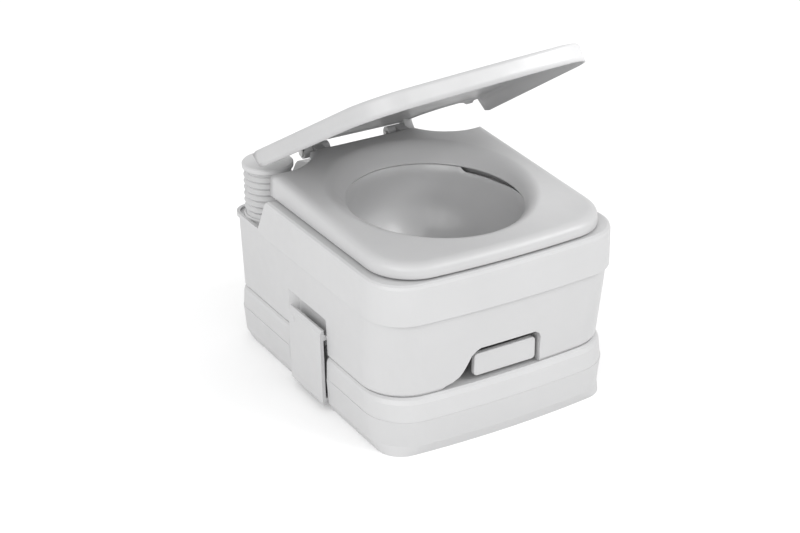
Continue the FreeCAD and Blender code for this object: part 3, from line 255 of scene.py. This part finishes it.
def hole_ring(outline, share, z=None):
    """Points of the oval between hole and dish crest, one towards each outline point."""
    half = HOLE_HALF + (DISH_HALF - HOLE_HALF) * share
    long = HOLE_LONG + (DISH_LONG - HOLE_LONG) * share
    ring = []
    for x, y in outline:
        turn = math.atan2((y - MOUTH_Y) / long, x / half)
        px, py = half * math.cos(turn), MOUTH_Y + long * math.sin(turn)
        height = smooth_least(seat_plane(py), dish_height(share), 9.0) if z is None else z
        ring.append((px, py, height))
    return ring


def seat_outline(inset):
    return panel_outline(156.2, 190.0, SEAT_CORNER, 150.0, inset)


def make_seat():
    """Wedge-shaped ring with a dished top and a flat underside, open round the bowl's lip."""
    rings = []
    for inset, z in ((1.6, 228.0), (0.5, 228.6), (0.0, 230.0)):
        rings.append([(x, y, z) for x, y in seat_outline(inset)])
    roll, soft = 13.0, 8.0
    rings.append([(x, y, seat_plane(y) - soft - 2.0) for x, y in seat_outline(0.8)])
    for step in range(13):
        turn = step / 12 * math.pi / 2
        inset = 1.0 + roll * (1 - math.cos(turn))
        drop = soft * (1 - math.sin(turn))
        rings.append([(x, y, seat_plane(y) - drop) for x, y in seat_outline(inset)])
    rim = seat_outline(1.0 + roll)
    crest = hole_ring(rim, CREST_SHARE)
    for share in (0.2, 0.45, 0.75):
        rings.append([tuple(a + (b - a) * share for a, b in zip((x, y, seat_plane(y)), inner))
                      for (x, y), inner in zip(rim, crest)])
    for step in range(30):
        rings.append(hole_ring(rim, CREST_SHARE * (1 - step / 29)))
    for share, z in ((-0.03, 237.9), (-0.03, 236.2), (0.36, 236.2), (0.36, 228.0)):
        rings.append(hole_ring(rim, share, z))
    seat = ring_mesh("seat_shell", rings)
    add_ears(seat, 55.4, 68.6, (146.0, 163.0), (241.5, 257.5))
    declare(seat, "seat", "seat", "seat")
    return seat


def add_ears(piece, near, far, web_y, web_z, change=None):
    """Solid hinge knuckles with their webs, on both sides; the pins run through them."""
    shape = bmesh.new()
    shape.from_mesh(piece.data)
    for side in (1, -1):
        before = set(shape.verts)
        middle = Vector((side * (near + far) / 2, HINGE_Y, HINGE_Z)) * MM
        turn = Matrix.Translation(middle) @ Matrix.Rotation(math.pi / 2, 4, "Y")
        bmesh.ops.create_cone(shape, cap_ends=True, segments=48, radius1=KNUCKLE * MM,
                              radius2=KNUCKLE * MM, depth=(far - near) * MM, matrix=turn)
        size = Vector((far - near, web_y[1] - web_y[0], web_z[1] - web_z[0])) * MM
        centre = Vector((side * (near + far) / 2, sum(web_y) / 2, sum(web_z) / 2)) * MM
        block = Matrix.Translation(centre) @ Matrix.Diagonal((*size, 1.0))
        bmesh.ops.create_cube(shape, size=1.0, matrix=block)
        for vertex in set(shape.verts) - before if change else ():
            vertex.co = change(vertex.co)
    shape.to_mesh(piece.data)
    shape.free()


LID_OPEN = 31.35
LID_TWIST = 2.8
LID_REACH = 356.0
LID_WALL, LID_TOP, LID_CROWN = 2.3, 263.0, 266.0
LID_SHARES = (0.08, 0.2, 0.4, 0.6, 0.8, 0.97)


def open_lid(point):
    """Shut lid to standing lid: a slight twist that grows towards the front, then the opening turn."""
    x, y, z = (value / MM for value in point)
    away = (HINGE_Y - y) / LID_REACH
    z += x * math.tan(math.radians(LID_TWIST)) * max(away, 0.0)
    turn = math.radians(-LID_OPEN)
    dy, dz = y - HINGE_Y, z - HINGE_Z
    return Vector((x, HINGE_Y + dy * math.cos(turn) - dz * math.sin(turn),
                   HINGE_Z + dy * math.sin(turn) + dz * math.cos(turn))) * MM


def lid_outline(inset):
    return panel_outline(159.4, 193.4, SEAT_CORNER + 2, 169.0, inset, 138.0)


def skirt_low(x, y):
    """Lower edge of the lid's skirt: it ends in a round towards the hinge."""
    end = 104.0 if x > -148.0 else 134.0
    run = min(max((y - end + 14.0) / 14.0, 0.0), 1.0)
    return 239.6 + (259.6 - 239.6) * (1 - math.sqrt(1 - run * run))


def dome_ring(edge, share, base):
    """Outline drawn in towards the lid's middle, rising gently to its crown."""
    middle_y = -10.0
    rise = (LID_CROWN - LID_TOP) * math.sin(min(share * 2.2, 1.0) * math.pi / 2)
    return [(x - x * share, y + (middle_y - y) * share, base + rise) for x, y in edge]


def make_lid():
    """Shallow tray, shaped shut and then stood open."""
    wall, top = LID_WALL, LID_TOP
    outer = []
    for share in (0.0, 0.5, 1.0):
        outer.append([(x, y, skirt_low(x, y) + max(259.8 - skirt_low(x, y), 0) * share * 0.7)
                      for x, y in lid_outline(1.2 * share)])
    soft = 5.0
    for step in range(9):
        turn = step / 8 * math.pi / 2
        inset = 1.4 + soft * (1 - math.cos(turn))
        ring = []
        for x, y in lid_outline(inset):
            z = top - 0.2 - soft * (1 - math.sin(turn))
            ring.append((x, y, max(z, skirt_low(x, y) + 0.3 + step * 0.3)))
        outer.append(ring)
    edge = lid_outline(1.4 + soft)
    outer += [dome_ring(edge, share, top - 0.2) for share in LID_SHARES]
    inner_edge = lid_outline(wall + 6.5)
    inner = [dome_ring(inner_edge, share, top - 1.9) for share in reversed(LID_SHARES)]
    for step in range(8, -1, -1):
        turn = step / 8 * math.pi / 2
        inset = wall + 1.2 + 5.3 * (1 - math.cos(turn))
        ring = []
        for x, y in lid_outline(inset):
            z = top - 1.9 - 5.3 * (1 - math.sin(turn))
            ring.append((x, y, max(z, skirt_low(x, y))))
        inner.append(ring)
    inner.append([(x, y, skirt_low(x, y)) for x, y in lid_outline(wall)])
    lid = ring_mesh("lid_shell", [[tuple(open_lid(Vector(point) * MM) / MM) for point in ring]
                                  for ring in outer + inner])
    cap_rings(lid, len(outer), len(outer[0]))
    add_ears(lid, 69.0, 81.0, (154.5, 168.0), (250.0, 261.5), open_lid)
    declare(lid, "lid", "lid", "lid")
    return lid


def cap_rings(piece, last_outer, count):
    """Swap the tunnel between the two innermost rings for a cap on each face."""
    shape = bmesh.new()
    shape.from_mesh(piece.data)
    shape.verts.ensure_lookup_table()
    outer = {shape.verts[(last_outer - 1) * count + i] for i in range(count)}
    inner = {shape.verts[last_outer * count + i] for i in range(count)}
    tunnel = [face for face in shape.faces
              if all(v in outer or v in inner for v in face.verts)
              and any(v in outer for v in face.verts) and any(v in inner for v in face.verts)]
    bmesh.ops.delete(shape, geom=tunnel, context="FACES_ONLY")
    shape.verts.ensure_lookup_table()
    for start in ((last_outer - 1) * count, last_outer * count):
        shape.faces.new([shape.verts[start + i] for i in range(count)])
    bmesh.ops.recalc_face_normals(shape, faces=shape.faces)
    for face in shape.faces:
        face.smooth = True
    shape.to_mesh(piece.data)
    shape.free()


BOWL = [(92.3, 34.0, 34.0, -9.0), (110.0, 34.0, 34.0, -9.0), (130.0, 58.0, 60.0, -12.0),
        (152.0, 82.0, 87.0, -17.0), (178.0, 98.0, 105.0, -21.0), (203.0, 104.5, 113.5, -24.0),
        (222.8, 106.3, 116.4, -25.0), (236.0, 106.3, 116.4, -25.0)]
BOWL_SIDES = 180


def bowl_at(z):
    """Half width, half length and centre of the bowl's inside at one height, smoothly joined."""
    steps = [i for i in range(len(BOWL) - 1) if BOWL[i][0] <= z]
    i = steps[-1] if steps else 0
    before, start = BOWL[max(i - 1, 0)], BOWL[i]
    end, after = BOWL[i + 1], BOWL[min(i + 2, len(BOWL) - 1)]
    span = end[0] - start[0]
    t = (z - start[0]) / span
    values = []
    for k in (1, 2, 3):
        rise = (end[k] - before[k]) / (end[0] - before[0]) * span if i else 0.0
        fall = (after[k] - start[k]) / (after[0] - start[0]) * span
        values.append(start[k] * (2 * t**3 - 3 * t**2 + 1) + rise * (t**3 - 2 * t**2 + t)
                      + end[k] * (3 * t**2 - 2 * t**3) + fall * (t**3 - t**2))
    return values


def bowl_ring(z, out=0.0, dip=0.0):
    half, long, middle = bowl_at(z)
    ring = []
    for i in range(BOWL_SIDES):
        turn = 2 * math.pi * i / BOWL_SIDES
        ring.append(((half + out) * math.cos(turn), middle + (long + out) * math.sin(turn),
                     z - dip * slot_share(math.degrees(turn))))
    return ring


def slot_share(turn):
    """1 along the crescent slot on the right, running out to 0 at its ends."""
    from_middle = (turn - 10.0 + 180.0) % 360.0 - 180.0
    return min(max((28.0 - abs(from_middle)) / (3.0 if from_middle > 0 else 26.0), 0.0), 1.0)


def make_bowl():
    """Bowl whose lip stands up inside the seat's hole, lower where the flush slot opens."""
    rings = [bowl_ring(92.3), bowl_ring(104.0), bowl_ring(109.0)]
    rings += [bowl_ring(111.0 + 3.4 * i) for i in range(31)]
    rings += [bowl_ring(z, out, dip) for z, out, dip in
              ((215.2, 0, 0), (222.0, 0, 0), (235.4, 0, 6), (235.8, 0.5, 6), (235.6, 1.3, 6),
               (222.8, 1.8, 0),
               (222.7, 13.0, 0), (219.9, 13.0, 0), (219.9, 4.2, 0))]
    rings += [bowl_ring(216.0 - 5.0 * i, 4.0 if i == 0 else 3.0) for i in range(21)]
    rings += [bowl_ring(110.0, 3.4), bowl_ring(92.3, 3.4)]
    bowl = ring_mesh("bowl_shell", rings)
    declare(bowl, "flush_unit", "bowl", "bowl")
    return bowl


def make_latch():
    """The left latch with an engraved triangle near its top."""
    source = frame["nodes"]["latch_left"]
    latch = source.copy()
    latch.data = source.data.copy()
    latch.name = "latch_left_shell"
    bpy.context.scene.collection.objects.link(latch)
    low, high = (Vector(corner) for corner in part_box("latch_left"))
    tip = Vector((low.x, 0.021, high.z - 18 * MM))
    corners = [(0.0, 0.0), (5.0, 9.0), (-5.0, 9.0)]
    mesh = bpy.data.meshes.new("triangle")
    near = [(tip.x - 2 * MM, tip.y + y * MM, tip.z + z * MM) for y, z in corners]
    deep = [(tip.x + 1.1 * MM, tip.y + y * 0.8 * MM, tip.z + (2.5 + (z - 2.5) * 0.8) * MM)
            for y, z in corners]
    mesh.from_pydata(near + deep, [], [(0, 1, 2), (5, 4, 3), (0, 3, 4, 1), (1, 4, 5, 2), (2, 5, 3, 0)])
    shape = bmesh.new()
    shape.from_mesh(mesh)
    bmesh.ops.recalc_face_normals(shape, faces=shape.faces)
    shape.to_mesh(mesh)
    shape.free()
    cutter = bpy.data.objects.new("triangle", mesh)
    bpy.context.scene.collection.objects.link(cutter)
    press = latch.modifiers.new("triangle", "BOOLEAN")
    press.operation, press.object, press.solver = "DIFFERENCE", cutter, "EXACT"
    bpy.context.view_layer.update()
    carved = bpy.data.meshes.new_from_object(latch.evaluated_get(bpy.context.evaluated_depsgraph_get()))
    latch.modifiers.clear()
    latch.data = carved
    bpy.data.objects.remove(cutter)
    declare(latch, "latch_left", "latch_left", "casing")
    return latch


def soften(piece, width):
    edges = piece.modifiers.new("soft_edges", "BEVEL")
    edges.width = width * MM
    edges.segments = 3
    edges.limit_method = "ANGLE"
    edges.angle_limit = math.radians(40)


def make_bellows():
    """The pump's bellows, a copy of the CAD part's mesh, left at the length it has there."""
    source = frame["nodes"]["pump_bellows"]
    bellows = source.copy()
    bellows.data = source.data.copy()
    bellows.name = "bellows_skin"
    bpy.context.scene.collection.objects.link(bellows)
    declare(bellows, "flush_unit", "pump_bellows", "bellows")
    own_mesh(bellows)
    return bellows


make_seat()
make_lid()
make_bowl()
make_bellows()
soften(make_latch(), 0.7)
for node in ("flush_tank", "top_housing", "waste_tank_lower", "waste_tank_upper", "valve_handle",
             "fill_cap"):
    soften(frame["nodes"][node], 1.3)
for node in ("latch_right", "pump_cap", "pump_base_ring"):
    soften(frame["nodes"][node], 0.8)


# ------------------------------------------------------- floor, light and camera

def make_floor():
    mesh = bpy.data.meshes.new("floor")
    half = 12.0
    mesh.from_pydata([(-half, -half, 0), (half, -half, 0), (half, half, 0), (-half, half, 0)], [],
                     [(0, 1, 2, 3)])
    floor = bpy.data.objects.new("floor", mesh)
    bpy.context.scene.collection.objects.link(floor)
    material = bpy.data.materials.new("floor_pale")
    material.use_nodes = True
    shader = material.node_tree.nodes["Principled BSDF"]
    shader.inputs["Base Color"].default_value = (0.86, 0.86, 0.86, 1)
    shader.inputs["Roughness"].default_value = 0.9
    shader.inputs["Specular IOR Level"].default_value = 0.1
    mesh.materials.append(material)


def make_light(name, place, aim, size, power):
    lamp = bpy.data.lights.new(name, "AREA")
    lamp.shape = "DISK"
    lamp.size = size
    lamp.energy = power
    lamp_object = bpy.data.objects.new(name, lamp)
    lamp_object.location = place
    lamp_object.rotation_euler = (Vector(aim) - Vector(place)).to_track_quat("-Z", "Y").to_euler()
    bpy.context.scene.collection.objects.link(lamp_object)


def make_spot(name, place, aim, cone, power):
    lamp = bpy.data.lights.new(name, "SPOT")
    lamp.spot_size = math.radians(cone)
    lamp.spot_blend = 1.0
    lamp.shadow_soft_size = 0.06
    lamp.energy = power
    lamp_object = bpy.data.objects.new(name, lamp)
    lamp_object.location = place
    lamp_object.rotation_euler = (Vector(aim) - Vector(place)).to_track_quat("-Z", "Y").to_euler()
    bpy.context.scene.collection.objects.link(lamp_object)


def make_studio():
    scene = bpy.context.scene
    scene.view_settings.view_transform = "Standard"
    world = bpy.data.worlds.new("studio")
    scene.world = world
    world.use_nodes = True
    background = world.node_tree.nodes["Background"]
    background.inputs["Color"].default_value = (1, 1, 1, 1)
    background.inputs["Strength"].default_value = 1.03
    middle = (0, 0, 0.2)
    make_light("key", (1.5, -1.7, 1.9), middle, 1.8, 36)
    make_spot("bowl_light", (0.62, -0.55, 0.95), (-0.03, 0.0, 0.20), 14.0, 34)
    make_light("fill", (-2.0, -1.3, 1.3), middle, 2.4, 40)


def make_camera():
    azimuth, elevation = math.radians(-31.2), math.radians(26.6)
    distance, target = 2.2179, Vector((-0.0322, 0.0030, 0.1434))
    back = Vector((math.sin(azimuth) * math.cos(elevation),
                   -math.cos(azimuth) * math.cos(elevation), math.sin(elevation)))
    camera = bpy.data.cameras.new("camera")
    camera.lens = 80.27
    camera.sensor_width = 36.0
    camera.clip_end = 50.0
    camera_object = bpy.data.objects.new("camera", camera)
    camera_object.location = target + back * distance
    camera_object.rotation_euler = (-back).to_track_quat("-Z", "Y").to_euler()
    bpy.context.scene.collection.objects.link(camera_object)
    bpy.context.scene.camera = camera_object


make_floor()
make_studio()
make_camera()
